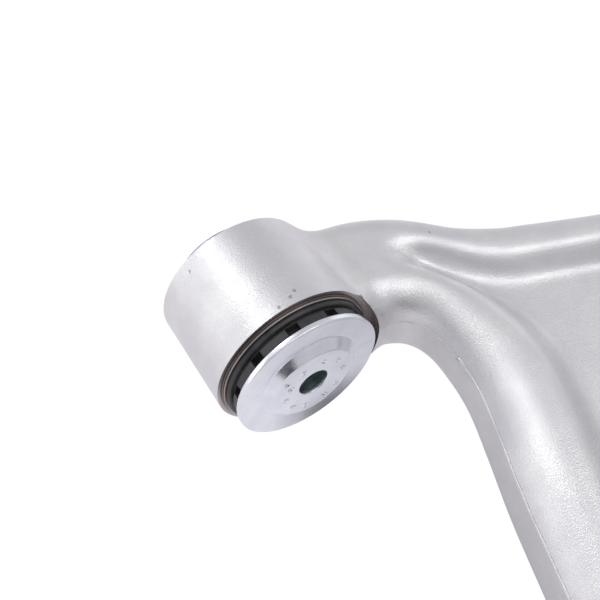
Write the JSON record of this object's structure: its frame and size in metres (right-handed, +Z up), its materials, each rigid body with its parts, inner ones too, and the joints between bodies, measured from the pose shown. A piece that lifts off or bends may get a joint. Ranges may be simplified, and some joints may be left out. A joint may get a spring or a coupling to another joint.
{
  "type": "front lower control arm",
  "caption": "Forged triangular suspension arm with a flanged front bush, an upright rear bush and an outboard ball joint.",
  "frame": {"origin": "centre of the front bush, on its axis, half way along its boss", "axes": "+Y along the front bush's bolt towards the front of the car, +X outboard to the ball joint, +Z up"},
  "size_m": [0.409, 0.3323, 0.1115],
  "materials": {
    "forged_aluminium": "shot-blasted satin",
    "zinc_steel": "bright zinc plate",
    "sleeve_steel": "turned, lightly oiled",
    "bush_rubber": "moulded natural rubber",
    "boot_rubber": "smooth chloroprene",
    "seat_plastic": "acetal",
    "housing_steel": "black e-coat",
    "stud_steel": "ground and rolled",
    "spring_steel": "oiled spring wire"
  },
  "bodies": {
    "arm": {"arm_forging": "forged_aluminium", "front_bush_outer_sleeve": "sleeve_steel", "front_bush_rubber": "bush_rubber", "front_bush_near_stop_ring": "bush_rubber", "rear_bush_outer_can": "sleeve_steel", "rear_bush_rubber": "bush_rubber", "ball_joint_housing": "housing_steel", "ball_joint_seat": "seat_plastic", "ball_joint_end_cap": "zinc_steel", "ball_joint_snap_ring": "spring_steel", "dust_boot": "boot_rubber", "boot_lower_clamp": "spring_steel"},
    "front_bush_core": {"front_bush_inner_sleeve": "zinc_steel", "front_bush_near_flange": "zinc_steel", "front_bush_far_stop_ring": "bush_rubber", "front_bush_far_washer": "zinc_steel"},
    "rear_bush_core": {"rear_bush_core": "zinc_steel"},
    "stud_tilt": {"boot_upper_clamp": "spring_steel"},
    "ball_stud": {"ball_stud": "stud_steel", "castle_nut": "zinc_steel", "cotter_pin": "zinc_steel"}
  },
  "joints": [
    {"name": "front_bush_twist", "type": "hinge", "parent": "arm", "child": "front_bush_core", "pos_m": [0, 0, 0], "axis": [0, 1, 0], "range_deg": [-18, 18], "stiffness_Nm_per_rad": 60, "deforming": ["front_bush_rubber"]},
    {"name": "rear_bush_tilt", "type": "hinge", "parent": "arm", "child": "rear_bush_core", "pos_m": [0, -0.26, 0], "axis": [0, 1, 0], "range_deg": [-18, 18], "stiffness_Nm_per_rad": 25, "deforming": ["rear_bush_rubber"]},
    {"name": "ball_joint_tilt", "type": "hinge", "parent": "arm", "child": "stud_tilt", "pos_m": [0.338, -0.118, -0.012], "axis": [0, 1, 0], "range_deg": [-20, 20], "deforming": ["dust_boot"]},
    {"name": "ball_joint_spin", "type": "hinge", "parent": "stud_tilt", "child": "ball_stud", "pos_m": [0.338, -0.118, -0.012], "axis": [0, 0, 1], "continuous": true}
  ],
  "couplings": [
    {"joint": "rear_bush_tilt", "follows": "front_bush_twist", "ratio": 1}
  ]
}
